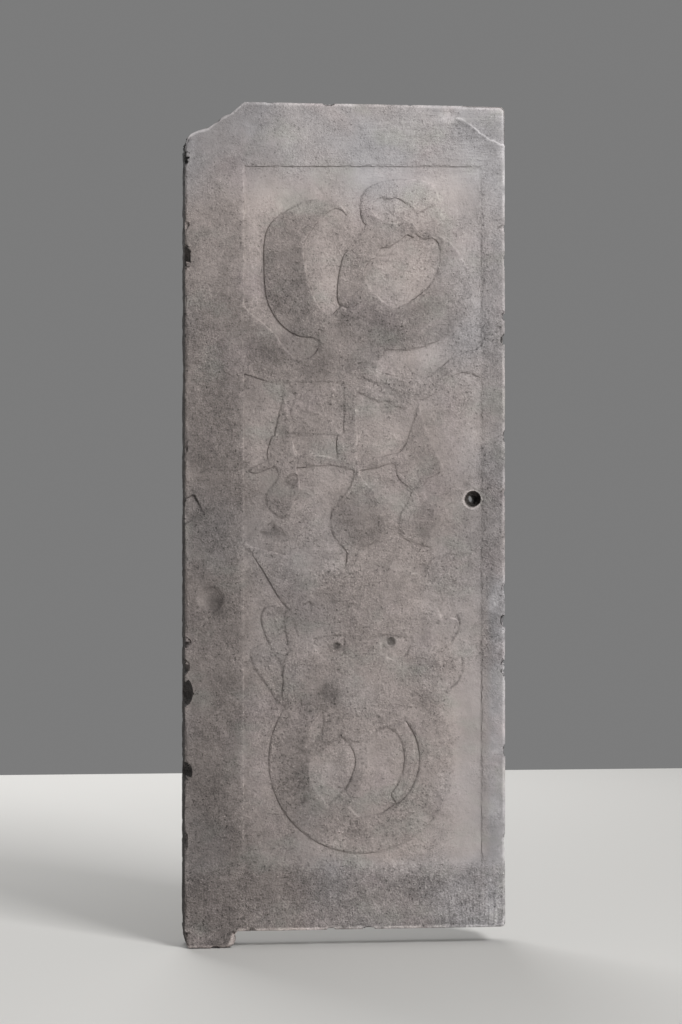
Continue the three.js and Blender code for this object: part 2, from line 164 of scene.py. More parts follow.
def unevenness(seed, places, size, octaves=1, weakening=0.5):
    # Smooth random values of about -1 to 1, whose swells are about as wide as the size.
    lattice = np.random.default_rng(seed).uniform(-1, 1, (48, 48, 48))
    turn = np.array([[0.80, 0.36, 0.48], [-0.60, 0.48, 0.64], [0.00, -0.80, 0.60]])
    total = np.zeros(len(places))
    strength = 1
    for octave in range(octaves):
        spot = places @ turn / size + 17.3 * octave
        corner = np.floor(spot).astype(int)
        part = spot - corner
        part = part * part * (3 - 2 * part)
        value = np.zeros(len(places))
        for step in range(8):
            way = np.array([step & 1, step >> 1 & 1, step >> 2 & 1])
            index = (corner + way) % 48
            share = np.prod(np.where(way, part, 1 - part), axis=1)
            value += lattice[index[:, 0], index[:, 1], index[:, 2]] * share
        total += value * strength
        strength *= weakening
        size *= 0.5
    return total * 1.4


def ease(value, low, high):
    # 0 at the low value and 1 at the high one, with a soft start and end.
    share = np.clip((value - low) / (high - low), 0, 1)
    return share * share * (3 - 2 * share)


def fromHole(spots):
    return np.hypot(spots[:, 0] - block["hole"][0], spots[:, 1] - block["hole"][1])


def standing(spots):
    # The spots of the face as places in space.
    return np.column_stack([spots[:, 0], np.zeros(len(spots)), spots[:, 1]])


def readSolid():
    # The carved lines are the edges of the solid between a face that looks forward and a step's side.
    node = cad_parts["stone_panel"]
    mesh = bmesh.new()
    mesh.from_mesh(node.data)
    bmesh.ops.remove_doubles(mesh, verts=mesh.verts, dist=1e-6)
    bmesh.ops.scale(mesh, vec=(1000, 1000, 1000), verts=mesh.verts)
    mesh.normal_update()
    surface = BVHTree.FromBMesh(mesh)
    samples = []
    for edge in mesh.edges:
        lean = sorted(abs(face.normal.y) for face in edge.link_faces)
        if len(lean) != 2 or lean[0] > carvedLines["upright"] or lean[1] < carvedLines["flat"]:
            continue
        a, b = (vertex.co for vertex in edge.verts)
        middle = (a + b) / 2
        nearHole = math.hypot(middle.x - block["hole"][0], middle.z - block["hole"][1]) < fineBands["hole"]
        across = carvedLines["left"] < middle.x < carvedLines["right"]
        if nearHole or not across or abs(middle.z) > carvedLines["reach"] or middle.y > front + thickness / 2:
            continue
        steps = max(1, math.ceil((b - a).length / carvedLines["step"]))
        for step in range(steps + 1):
            spot = a.lerp(b, step / steps)
            samples.append((spot.x, spot.z))
    mesh.free()
    samples = np.unique(np.round(np.array(samples), 2), axis=0)
    tree = kdtree.KDTree(len(samples))
    for index, (x, z) in enumerate(samples):
        tree.insert((x, 0, z), index)
    tree.balance()
    return surface, samples, tree


def castLevels(surface, spots):
    # How deep the solid lies at each spot, seen from the front.
    levels = np.full(len(spots), front)
    for index, (x, z) in enumerate(spots):
        hit = surface.ray_cast(Vector((x, front - carvedLines["ahead"], z)), Vector((0, 1, 0)))
        if hit[0] is not None:
            levels[index] = hit[0].y
    return levels


def castAround(surface, spots, reach):
    # The highest and the lowest level found in six directions around each spot.
    turns = [math.pi * (0.25 + step / 3) for step in range(6)]
    rings = [castLevels(surface, spots + reach * np.array([math.cos(t), math.sin(t)])) for t in turns]
    return np.min(rings, axis=0), np.max(rings, axis=0)


def nearestLine(tree, samples, spots):
    found = [tree.find((x, 0, z)) for x, z in spots]
    index = np.array([item[1] for item in found])
    distance = np.array([item[2] for item in found])
    return distance, index


def breakHeight(x):
    xs, zs = zip(*block["breakLine"])
    return np.interp(x, xs, zs, right=top)


def makeBlock():
    bpy.ops.object.select_all(action="DESELECT")
    width = right - left
    height = top - bottom
    bpy.ops.mesh.primitive_grid_add(
        x_subdivisions=round(width / block["cell"]), y_subdivisions=round(height / block["cell"]),
        size=1, rotation=(math.pi / 2, 0, 0))
    piece = bpy.context.object
    piece.name = "carved_stone_leaf"
    piece.scale = (width / 1000, height / 1000, 1)
    bpy.ops.object.transform_apply(location=True, rotation=True, scale=True)

    # The back is drawn out to the block's thickness, and its sides are divided.
    bpy.ops.object.mode_set(mode="EDIT")
    bpy.ops.mesh.select_all(action="SELECT")
    bpy.ops.mesh.extrude_region_move(TRANSFORM_OT_translate={"value": (0, front / 1000, 0)})
    leaveEditing()
    pickEdges(piece, 1, thickness / 2)
    bpy.ops.mesh.subdivide(number_cuts=block["sideCells"] - 1)
    bpy.ops.mesh.select_all(action="SELECT")
    bpy.ops.mesh.normals_make_consistent(inside=False)
    leaveEditing()

    # The stub is drawn down from the underside.
    centres, normals = readFaces(piece)
    under = (normals[:, 2] < -square) & (centres[:, 0] < left + block["stubWidth"])
    pickFaces(piece, under & (centres[:, 1] < front + block["stubDepth"]))
    bpy.ops.mesh.extrude_region_move(TRANSFORM_OT_translate={"value": (0, 0, -block["stubDrop"] / 1000)})
    leaveEditing()
    pickEdges(piece, 2, block["stubDrop"] - 1)
    bpy.ops.mesh.subdivide(number_cuts=block["stubCuts"])
    leaveEditing()

    # The pull hole is opened from face to face.
    centres, normals = readFaces(piece)
    inMouth = fromHole(centres[:, [0, 2]]) < block["holeBore"][0][1]
    pickFaces(piece, inMouth & (np.abs(normals[:, 1]) > square))
    bpy.ops.mesh.bridge_edge_loops(number_cuts=block["holeCuts"])
    leaveEditing()
    return piece


def shapeCorner(piece):
    # The rows close up under the broken corner, so that the block's top follows the break.
    places = readPlaces(piece)
    start = block["breakStart"]
    share = (breakHeight(places[:, 0]) - start) / (top - start)
    over = np.maximum(places[:, 2] - start, 0)
    places[:, 2] -= over * (1 - share)
    writePlaces(piece, places)


def shapeHole(piece):
    # Each ring of the bore is set to its own place and width, and the faces around are drawn in to it.
    places = readPlaces(piece)
    depths, widths, shifts = zip(*block["holeBore"])
    reach = block["holeReach"]
    width = np.interp(places[:, 1] - front, depths, widths)
    shift = np.interp(places[:, 1] - front, depths, shifts)
    away = places[:, [0, 2]] - block["hole"]
    distance = np.maximum(np.hypot(*away.T), 0.01)
    inBore = np.zeros(len(places), bool)
    onFace = np.zeros(len(places), bool)
    centres, normals = readFaces(piece)
    for index in np.flatnonzero(fromHole(centres[:, [0, 2]]) < reach):
        corners = list(piece.data.polygons[index].vertices)
        if abs(normals[index, 1]) > square:
            onFace[corners] = True
        else:
            inBore[corners] = True
    nearest = np.where(inBore, distance, 1e9)[inBore & onFace].min()
    wanted = width + np.maximum(distance - nearest, 0) * (reach - width) / (reach - nearest)
    wanted[inBore] = width[inBore]
    moved = inBore | onFace & (distance < reach)
    share = np.clip((reach - distance) / (reach - nearest), 0, 1)
    share[inBore] = 1
    aside = np.column_stack([shift * share, np.zeros(len(places))])
    places[np.ix_(moved, [0, 2])] = (block["hole"] + aside + away * (wanted / distance)[:, None])[moved]
    writePlaces(piece, places)


def divideFinely(piece, tree, samples):
    # The face is divided where it is carved, and the block where its edges and breaks are worn.
    centres, normals = readFaces(piece)
    onFace = (normals[:, 1] < -square) & (centres[:, 1] < front + 1)
    atFront = (centres[:, 1] < front + fineBands["front"])
    atBreak = centres[:, 2] > breakHeight(centres[:, 0]) - fineBands["break"]
    atBreak &= centres[:, 0] < breakEnd + 7
    onStub = centres[:, 2] < bottom
    pickFaces(piece, onFace | atFront | atBreak | onStub)
    bpy.ops.mesh.subdivide(number_cuts=1)
    leaveEditing()
    centres, normals = readFaces(piece)
    onFace = (normals[:, 1] < -square) & (centres[:, 1] < front + 1)
    spots = centres[:, [0, 2]]
    distance, _ = nearestLine(tree, samples, spots[onFace])
    fine = np.zeros(len(centres), bool)
    fine[np.flatnonzero(onFace)[distance < fineBands["line"]]] = True
    outer = np.minimum(centres[:, 0] - left, right - centres[:, 0])
    outer = np.minimum(outer, breakHeight(centres[:, 0]) - centres[:, 2])
    outer = np.minimum(outer, centres[:, 2] - bottom)
    atFlake = np.abs(aboveFlake(spots)) < fineBands["flake"]
    fine |= onFace & ((outer < fineBands["edge"]) | atFlake | (fromHole(spots) < fineBands["hole"]))
    fine |= ~onFace & (centres[:, 1] < front + fineBands["side"]) & (np.abs(normals[:, 1]) < 0.5)
    pickFaces(piece, fine)
    bpy.ops.mesh.subdivide(number_cuts=1)
    leaveEditing()


# How the carving is shaped, in millimetres where nothing else is said.
carving = {
    "groundDepth": 3.6,  # from the border down to the field
    "deepest": 12,  # what lies deeper than this is the pull hole
    "snap": 0.8,  # what lies this near to a line is moved onto it
    "aside": 0.6,  # how far from a line its two levels are read
    "leastStep": 0.5,
    "steepStep": 0.8,
    "wall": 1.5,  # how far a step's foot stands out from its top
    "footReach": 2.4,
    "grooveReach": 9,
    "groove": 0.35,  # the cut that runs along the foot of each figure
    "grooveWidth": 2.0,
    "soft": 0.5,  # how much the rim of each figure is worn down
    "softWidth": 3.5,
    "lost": 0.4,  # how much of each step is worn to a slope, where nothing else is said
    "slope": (3, 7, 11),
    "slopeReach": 14,
    "broken": 0.28,  # how unevenly the steps are worn along their length
    "flakeStep": 2.4,
    "flakeWhole": 222,  # how far right the flake's step has its whole depth
    "lipWear": 1.3,
    "lipWidth": 2.6,
    "groundRoughness": 0.7,
    "figureRoughness": 0.35,
    "swell": 0.3,
}

# Where the carving is crisp (0) or worn away to a slope (1): x, z, how far across, how far up.
crispness = [
    (-147, 450, 26, 100, 0.0), (-80, 470, 22, 110, 0.15), (-15, 430, 20, 80, 0.0), (0, 385, 34, 22, 0.0),
    (-100, 335, 60, 26, 0.0), (-70, 571, 70, 16, 0.95), (215, 385, 60, 75, 0.9), (130, 318, 100, 26, 0.6),
    (165, 560, 60, 20, 0.8), (150, 470, 36, 60, 0.45), (60, 620, 130, 18, 0.5), (60, 236, 70, 22, 0.05),
    (140, 225, 60, 20, 0.5), (35, 200, 22, 120, 0.5), (-110, 190, 26, 60, 0.5), (150, 190, 60, 90, 0.7),
    (-20, 120, 120, 16, 0.25), (-130, 30, 36, 60, 0.75), (-25, -10, 24, 60, 0.6), (70, -10, 24, 60, 0.8),
    (0, -90, 20, 26, 0.1), (26, -80, 16, 36, 0.7), (150, -20, 36, 60, 0.8), (-60, -98, 80, 14, 0.85),
    (110, -104, 100, 14, 0.85), (-150, -100, 50, 55, 0.05), (210, -100, 60, 80, 0.95),
    (-140, -240, 40, 90, 0.05), (190, -220, 40, 60, 0.0), (205, -290, 30, 60, 0.1),
    (160, -260, 16, 70, 0.6), (-45, -346, 60, 10, 1.0), (120, -346, 70, 10, 1.0),
    (-140, -442, 26, 110, 0.0), (-90, -560, 70, 60, 0.0), (30, -612, 60, 20, 0.35),
    (120, -590, 60, 40, 0.8), (190, -450, 36, 150, 0.65), (15, -455, 16, 70, 0.0),
    (120, -440, 22, 100, 0.0), (80, -520, 50, 36, 0.1), (-55, -460, 22, 60, 0.65),
    (-15, -405, 40, 16, 0.5), (-180, 0, 14, 800, 0.55), (-60, -632, 150, 14, 1.0),
    (120, -632, 130, 14, 0.6), (0, 638, 210, 14, 0.35), (230, 640, 34, 20, 0.8), (250, 560, 14, 80, 1.0),
    (250, 400, 14, 110, 0.9), (250, 110, 14, 200, 1.0), (250, -180, 14, 90, 0.75),
    (250, -440, 14, 190, 0.6), (30, -236, 90, 34, 0.3), (-105, -200, 16, 60, 0.1),
    (-150, -300, 40, 60, 0.0), (13, 150, 22, 80, 0.2), (178, 455, 24, 42, 0.92), (14, 503, 26, 32, 0.85),
    (40, 600, 32, 34, 0.88), (-8, 52, 34, 40, 0.88), (108, 0, 26, 46, 0.85),
]

# Shallow cuts and scratches: the places they run through, their width and their depth.
scratches = [
    ([(57, 474), (92, 477)], 3, 1.2),
    ([(60, 487), (80, 489)], 2.5, 0.8),
    ([(56, 466), (86, 464)], 2.5, 0.7),
    ([(-58, 605), (-35, 580), (0, 550)], 2, 0.5),
    ([(25, 255), (60, 240), (100, 226)], 2.5, 0.6),
    ([(120, 525), (165, 512)], 2, 0.5),
    ([(215, 465), (237, 422)], 2, 0.7),
    ([(222, 455), (244, 412)], 2, 0.5),
    ([(19, 168), (19, 60)], 2, 0.6),
    ([(-90, -420), (-75, -428), (-70, -445)], 2.5, 0.9),
    ([(-290, -78), (-268, -97)], 2, 1.2),
    ([(-288, 62), (-258, 0)], 3, 1.0),
    ([(183, -716), (222, -702)], 2, 0.8),
    ([(-120, 152), (-96, 150)], 2.5, 0.7),
    ([(-118, 144), (-94, 142)], 2.5, 0.6),
    ([(-95, 152), (-10, 146)], 2.2, 0.5),
    ([(208, 700), (250, 690)], 2.5, 0.7),
    ([(205, -180), (209, -196), (205, -212), (194, -229)], 3.4, 1.5),
    ([(214, -258), (214, -284), (206, -302), (193, -313)], 3.2, 1.3),
    ([(28, 252), (52, 243), (88, 238)], 3, 0.9),
    ([(31, 231), (64, 226), (100, 219)], 2.6, 0.7),
    ([(66, 198), (84, 197)], 2.5, 0.8),
    ([(66, 190), (82, 188)], 2.5, 0.8),
    ([(-98, -182), (-92, -203), (-86, -220)], 2.6, 1.0),
    ([(128, 556), (141, 555), (150, 563), (163, 567)], 2.2, 0.7),
    ([(165, 514), (171, 508), (178, 497)], 2.4, 0.9),
]

# Worn or pitted places: x, z, how wide, how deep.
wornSpots = [
    (30, 350, 12, 1.6), (22, 277, 5, 1.5), (35, 400, 5, 1.2), (-175, 25, 4, 1.5), (40, 105, 4, 1.5),
    (-28, -322, 22, 2.2), (-78, -284, 6, 1.6), (149, -220, 12, 1.4), (-92, -500, 8, 1.2),
    (30, -448, 12, 1.0), (60, -572, 34, 1.4), (190, 735, 16, 1.8), (-100, 60, 13, 2.4),
    (-130, -28, 16, 2.6), (-18, -236, 7, 2.6), (82, -229, 7, 2.6), (-83, -470, 16, 1.2),
    (116, -668, 40, 1.2), (200, -665, 30, 1.2), (-228, -158, 9, 1.6),
]

# The line along which the upper right corner has flaked.
flakeLine = [(203, 727), (213, 725), (224, 719), (231, 713), (239, 708), (246, 701), (256, 694), (262, 689),
             (270, 686), (279, 683), (289, 679), (300, 674)]


def alongScratch(spots, places):
    # How far each spot is from the line through the places.
    distance = np.full(len(spots), 1e9)
    for a, b in zip(places, places[1:]):
        a = np.array(a, float)
        run = np.array(b, float) - a
        share = np.clip((spots - a) @ run / (run @ run), 0, 1)
        distance = np.minimum(distance, np.hypot(*(spots - a - share[:, None] * run).T))
    return distance


def lossAt(spots):
    # How much of each step is worn to a slope.
    lost = np.full(len(spots), carving["lost"])
    for x, z, across, up, value in crispness:
        reach = np.hypot((spots[:, 0] - x) / across, (spots[:, 1] - z) / up)
        lost += (value - lost) * (1 - ease(reach, 0.75, 1.15))
    return np.clip(lost + carving["broken"] * unevenness(8, standing(spots), 16, 2), 0, 1)


def spreadSteps(surface, spots, levels, distance):
    # Where the carving is worn, each step is spread to a slope.
    close = np.flatnonzero(distance < carving["slopeReach"])
    rings = []
    for reach in carving["slope"]:
        for step in range(8):
            turn = math.pi * (step + 0.5) / 4
            around = castLevels(surface, spots[close] + reach * np.array([math.cos(turn), math.sin(turn)]))
            rings.append(np.where(around > front + carving["deepest"], front, around))
    levels[close] += (np.mean(rings, axis=0) - levels[close]) * lossAt(spots[close])


def carveFace(piece, surface, samples, tree):
    # The face is taken down to the solid's levels, with its cells drawn up to the carved lines.
    places = readPlaces(piece)
    face = np.flatnonzero(places[:, 1] < front + 0.01)
    spots = places[face][:, [0, 2]]
    distance, index = nearestLine(tree, samples, spots)
    crests, feet = castAround(surface, samples, carving["aside"])
    onLine = distance < carving["snap"]
    levels = castLevels(surface, spots)
    crest = crests[index]
    foot = feet[index]
    low = ~onLine & (levels > (crest + foot) / 2) & (foot - crest > carving["leastStep"])
    nearFoot = low & (distance < carving["footReach"])
    away = (spots - samples[index]) / np.maximum(distance, 1e-3)[:, None]
    spots[onLine] = samples[index[onLine]]
    spots[nearFoot] = samples[index[nearFoot]] + away[nearFoot] * carving["wall"]
    levels[nearFoot] = castLevels(surface, spots[nearFoot])
    levels[onLine] = crest[onLine]
    levels = np.where(levels > front + carving["deepest"], front, levels)

    # A groove runs along the foot of each step, and its rim is worn.
    ground = levels > front + carving["leastStep"]
    steep = foot - crest > carving["steepStep"]
    beside = np.where(nearFoot, carving["wall"], distance)
    cut = carving["groove"] * np.exp(-(beside / carving["grooveWidth"]) ** 2)
    levels += np.where(low & steep & (beside < carving["grooveReach"]), cut, 0)
    rim = np.clip(1 - beside / carving["softWidth"], 0, 1) ** 2 * carving["soft"]
    levels += np.where(~low & steep, rim, 0)

    spreadSteps(surface, spots, levels, distance)

    # Worn spots, scratches and the flaked corner.
    for path, width, depth in scratches:
        levels += depth * np.exp(-(alongScratch(spots, path) / width * 1.6) ** 2)
    upright = standing(spots)
    ragged = 0.5 + 0.5 * unevenness(3, upright, 7, 2)
    for x, z, width, depth in wornSpots:
        levels += depth * ragged * np.exp(-(np.hypot(spots[:, 0] - x, spots[:, 1] - z) / width) ** 2 * 1.5)
    flaked = carving["flakeStep"] * ease(aboveFlake(spots), -0.6, 1.6)
    levels += flaked * ease(spots[:, 0], flakeLine[0][0], carving["flakeWhole"])

    # The edge of the hole is worn round.
    mouth = block["holeBore"][0][1]
    outward = np.maximum(fromHole(spots), mouth) - mouth
    levels += carving["lipWear"] * np.exp(-(outward / carving["lipWidth"]) ** 2)

    # The ground is left rougher than the figures.
    chisel = np.abs(unevenness(5, upright * [1, 1, 0.6], 16, 3))
    swell = np.abs(unevenness(6, upright, 40, 3))
    roughness = np.where(ground, carving["groundRoughness"], carving["figureRoughness"])
    levels += roughness * chisel + carving["swell"] * swell
    places[face, 0] = spots[:, 0]
    places[face, 1] = levels
    places[face, 2] = spots[:, 1]
    writePlaces(piece, places)


def aboveFlake(spots):
    # How far above the flake's line each spot lies. It is below zero under the line.
    xs, zs = zip(*flakeLine)
    above = (spots[:, 1] - np.interp(spots[:, 0], xs, zs)) * 0.8 + 1.1 * unevenness(4, standing(spots), 8, 2)
    return np.where(spots[:, 0] < xs[0], -20, above)


def mergeClose(distance):
    # Corners that lie this near to each other, in millimetres, become one.
    bpy.ops.object.mode_set(mode="EDIT")
    bpy.ops.mesh.select_all(action="SELECT")
    bpy.ops.mesh.remove_doubles(threshold=distance / 1000)
    bpy.ops.mesh.dissolve_degenerate(threshold=distance / 4000)
    leaveEditing()


# How far in from each side the block is compared with the solid, and what stands out least to be cut.
trim = {
    "left": 34,
    "right": 20,
    "top": 28,
    "bottom": 26,
    "corner": (-150, 640),
    "least": 0.05,
}


def cutToSolid(piece, surface):
    # Whatever of the block stands out from the solid, along its edges and behind, is taken back to it.
    places = readPlaces(piece)
    x, y, z = places.T
    edge = (x < left + trim["left"]) | (x > right - trim["right"])
    edge |= (z > top - trim["top"]) | (z < bottom + trim["bottom"])
    behind = (y > front + carving["deepest"]) & (fromHole(places[:, [0, 2]]) > block["holeReach"] + 1)
    atCorner = (x < trim["corner"][0]) & (z > trim["corner"][1])
    for index in np.flatnonzero(edge | behind | atCorner):
        spot = Vector(places[index])
        nearest, normal, _, away = surface.find_nearest(spot)
        if (spot - nearest).dot(normal) > 0 and away > trim["least"]:
            places[index] = nearest
    writePlaces(piece, places)
    mergeClose(0.3)


# How the block's edges and its plain faces are worn.
wear = {
    "rounding": 1.6,
    "spread": 2.6,  # how much further the most worn stretches are cut back
    "chips": 7,  # how deep the largest small chips go
    "least": 0.7,
    # Each cut's lean towards its two faces, and its share of the depth.
    "slants": ((1, 1, 1), (0.45, 1, 0.62), (1, 0.45, 0.62)),
    "faceRoughness": 0.16,
    "sideRoughness": 1.7,
    "toolMarks": 0.5,
    "backRoughness": 3.5,
    "breakRoughness": 5,
    "breakReach": 9,
}

# Which arrises are worn, and how much each is.
arrises = [
    ("left", "front", 1), ("right", "front", 0.8), ("top", "front", 0.5), ("bottom", "front", 0.7),
    ("left", "back", 1.2), ("right", "back", 1.2), ("top", "back", 0.9), ("bottom", "back", 1.2),
    ("break", "front", 0.5), ("break", "back", 0.8), ("bottom", "right", 1), ("top", "right", 0.8),
    ("stubEnd", "front", 1), ("stubUnder", "front", 0.9),
]

# The way into the stone from each of its outer faces.
inward = {
    "left": (1, 0, 0), "right": (-1, 0, 0), "front": (0, 1, 0), "back": (0, -1, 0), "top": (0, 0, -1),
    "bottom": (0, 0, 1), "break": (0.55, 0, -0.83), "stubEnd": (-0.9, 0, 0.44), "stubUnder": (0, 0, 1),
}


def depthUnder(places, name):
    # How far inside one of the block's outer faces each place lies.
    x, y, z = places.T
    if name == "break":
        return (breakHeight(x) - z) * 0.8
    if name == "stubEnd":
        return left + block["stubWidth"] - block["stubLean"] * (bottom - z) - x
    faces = {
        "left": x - left, "right": right - x, "front": y - front, "back": back - y, "top": top - z,
        "bottom": z - bottom, "stubUnder": z - bottom + block["stubDrop"],
    }
    return faces[name]


def wearArrises(piece):
    # Each arris is cut back by three slanting planes, deeper where it is chipped.
    places = readPlaces(piece)
    onStub = places[:, 2] < bottom - 0.5
    swell = unevenness(11, places, 45, 2)
    fine = unevenness(12, places, 13, 2)
    chips = np.clip(unevenness(13, places, 26, 2) - 0.62, 0, 1) * 2
    for first, second, share in arrises:
        depth = share * (wear["rounding"] + wear["spread"] * (0.35 + 0.4 * swell + 0.3 * fine))
        depth += share * wear["chips"] * chips
        depth = np.maximum(depth, wear["least"])
        for weightA, weightB, scale in wear["slants"]:
            length = math.hypot(weightA, weightB)
            depthA = depthUnder(places, first)
            depthB = depthUnder(places, second)
            out = depth * scale - (depthA * weightA + depthB * weightB) / length
            usable = (out > 0) & (depthA > -0.5) & (depthB > -0.5)
            if "bottom" in (first, second):
                usable &= ~onStub & (places[:, 0] > left + block["stubWidth"])
            if "top" in (first, second):
                usable &= places[:, 0] > breakEnd
            if first in ("stubEnd", "stubUnder"):
                usable &= onStub
            way = (np.array(inward[first]) * weightA + np.array(inward[second]) * weightB) / length
            places[usable] += way * out[usable][:, None]
    writePlaces(piece, places)


def roughen(piece, surface):
    # The sides and the back are only roughly dressed, and the break is raw.
    places = readPlaces(piece)
    normals = np.array([surface.find_nearest(Vector(place))[1] for place in places])
    x, y, z = places.T
    onFront = ease(-normals[:, 1], 0.55, 0.9) * (y < front + 15)
    onBack = ease(normals[:, 1], 0.4, 0.9)
    atBreak = (x < breakEnd + 4) & (z > breakHeight(x) - wear["breakReach"])
    broken = atBreak * (1 - onFront)
    tooled = np.abs(np.sin((z + y * 0.9) / 5.2 + 2.2 * unevenness(21, places, 60)))
    rough = np.abs(unevenness(22, places, 30, 4, 0.6))
    deep = np.clip(unevenness(23, places, 90, 2), -0.3, 1) + 0.3
    behind = ease(y - front, 3, 16) * ease(back - y, 1, 10)
    amount = (1 - onFront - onBack) * behind * (wear["sideRoughness"] * rough + wear["toolMarks"] * tooled)
    amount += onBack * wear["backRoughness"] * (0.5 * rough + 0.5 * deep)
    ragged = np.abs(unevenness(24, places, 34, 4, 0.6))
    amount += broken * ease(y - front, 0, 9) * wear["breakRoughness"] * ragged
    amount += onFront * wear["faceRoughness"] * np.abs(unevenness(25, places, 5, 2))
    places -= normals * np.maximum(amount, 0)[:, None]
    keepInside(piece, places)


def keepInside(piece, places):
    writePlaces(piece, np.clip(places, np.array(solidLow) * 1000, np.array(solidHigh) * 1000))


def lighten(piece):
    # Flat stretches need few faces, and carved ones keep theirs.
    mergeClose(0.2)
    bpy.ops.object.mode_set(mode="EDIT")
    bpy.ops.mesh.select_all(action="SELECT")
    bpy.ops.mesh.quads_convert_to_tris(quad_method="BEAUTY", ngon_method="BEAUTY")
    leaveEditing()
    count = len(piece.data.polygons)
    print("triangles before lightening:", count)
    thin = piece.modifiers.new("lighten", "DECIMATE")
    thin.ratio = min(1, block["mostTriangles"] / count)
    bpy.ops.object.modifier_apply(modifier=thin.name)
    bpy.ops.object.mode_set(mode="EDIT")
    bpy.ops.mesh.select_all(action="SELECT")
    bpy.ops.mesh.delete_loose()
    bpy.ops.mesh.normals_make_consistent(inside=False)
    leaveEditing()
    keepInside(piece, readPlaces(piece))
    bpy.ops.object.shade_smooth_by_angle(angle=math.radians(block["smoothAngle"]))
    print("triangles:", len(piece.data.polygons))


# The sunk field that the figures stand in.
field = {
    "left": -186,
    "right": 250,
    "top": 640,
    "bottom": -640,
}

# The stone's tone, from 0 (black) to 255 (white), before its grain.
tones = {
    "middle": 141,
    "across": 12,  # how much paler it gets from the middle to the right
    "upwards": 12,  # how much paler its upper part is
    "border": -10,
    "leftBorder": -8,
    "leftArris": 14,
    "rim": 6,  # how much paler the worn edges of the figures are
    "crest": 42,  # how much paler still they are where they face up or to the right, towards the light: a painted highlight
    "paintedShade": -18,  # how much darker the shallow steps are where they face the other way, away from the light: painted shade
    # painted shade in the scratches and cuts
    "paintedScratchShade": -22,
    # painted highlight along the step of the flaked corner, which faces the light
    "flakeLine": 56,
    "fieldLine": 8,
    "chip": 12,
    "side": 130,
    # painted shade on the left side and the notches along the left edge, which face away from the light
    "leftSideShade": 76,
    "back": 134,
    "figure": -17,
    # painted shade at the foot of each carved step
    "foot": -9,
}

# Darker and paler patches: x, z, how far across, how far up, how much paler or darker.
tonePatches = [
    (-30, 700, 190, 60, 5), (-150, 540, 70, 60, 8), (-225, 420, 60, 110, 8), (-265, 290, 34, 70, 6),
    (-30, 440, 30, 90, 5), (80, 420, 60, 60, 4), (205, 410, 50, 80, 8), (160, 560, 60, 50, 5),
    (0, -450, 50, 110, 6), (130, -670, 150, 50, 8), (150, 110, 50, 80, -6), (275, -450, 20, 90, 5),
    (-268, -170, 22, 60, 4), (217, 717, 12, 6, -20), (234, 704, 4, 4, -34), (286, 664, 6, 13, 26),
    (-275, 240, 22, 44, 8), (-150, 430, 40, 90, 5), (-30, 420, 26, 60, 5), (-30, -560, 50, 50, 5),
    (200, 380, 50, 60, 4), (-120, 560, 90, 50, 4), (238, 712, 50, 40, -7), (160, 640, 40, 30, -5),
    (-200, 705, 60, 46, -5), (-276, -760, 16, 16, 22), (-276, -759, 8, 8, -20), (230, -705, 64, 40, 11),
    (270, -190, 14, 150, -9), (272, 640, 20, 130, -7), (-18, -236, 8, 8, -14), (82, -227, 8, 8, -14),
    (60, -440, 44, 60, 3), (222, 0, 7, 18, -5), (-285, 60, 12, 40, 8), (246, 724, 40, 22, 4),
    (-90, 300, 110, 40, -8), (30, 355, 80, 45, -12), (-120, 430, 36, 80, -5), (-28, -322, 26, 26, -26),
    (149, -220, 16, 18, -14), (150, -338, 20, 12, -12), (-100, 62, 13, 14, -24), (-130, -28, 24, 12, -20),
    (30, 0, 62, 52, -12), (150, -12, 30, 42, -11), (60, -572, 70, 34, -8), (-236, -158, 15, 20, -22),
    (-264, -146, 10, 20, 14), (186, 728, 18, 16, 20), (-265, -760, 30, 22, 14), (275, -730, 26, 34, 18),
    (130, -672, 60, 20, -12), (-245, -560, 50, 170, -4), (-83, -468, 22, 62, -14),
    (-150, 240, 60, 120, 2), (205, -20, 90, 150, -11), (-150, -600, 80, 80, -6), (272, 40, 30, 200, -7),
    (270, -160, 10, 22, 24), (-270, 650, 20, 50, -4), (20, 600, 230, 60, 10), (200, -470, 60, 130, 6),
    (160, 300, 70, 30, 8), (-18, -236, 9, 9, -36), (82, -229, 9, 9, -36), (60, -725, 240, 26, 9),
    (-40, 440, 30, 80, 4), (110, 440, 56, 50, 3), (286, -420, 16, 330, 5), (25, 60, 150, 90, 2),
    (-60, -160, 80, 40, -8), (250, 715, 46, 34, -8), (150, -440, 34, 130, -5), (130, -590, 160, 50, 6),
    (90, -640, 130, 16, 8), (60, -440, 50, 70, 5), (-262, 440, 34, 130, 7), (223, 57, 9, 7, -14),
    (-150, 0, 40, 110, -6), (-90, 70, 60, 60, -5), (-245, -40, 50, 90, -5), (-153, 360, 36, 46, 11),
    (-32, 358, 30, 42, 10), (150, 280, 34, 42, 8), (-258, 200, 24, 44, 9), (268, -360, 20, 44, -8),
    (268, -596, 20, 40, -8), (268, -690, 20, 58, 9), (-30, -596, 34, 40, 8), (-210, -520, 28, 44, 8),
    (-165, 130, 22, 48, 13), (80, 130, 34, 36, 10), (-118, -450, 16, 66, -6), (-55, -455, 30, 44, 4),
    (10, -440, 13, 50, 10), (62, -440, 24, 60, -4), (-168, 500, 16, 64, 11), (228, 565, 24, 48, -12),
    (20, 320, 46, 30, 10), (-100, -200, 40, 50, -5), (225, -380, 20, 44, -7), (110, 450, 44, 44, 5),
    (10, 440, 18, 60, 8), (80, 250, 54, 28, 7), (-128, 450, 24, 60, -4),
]

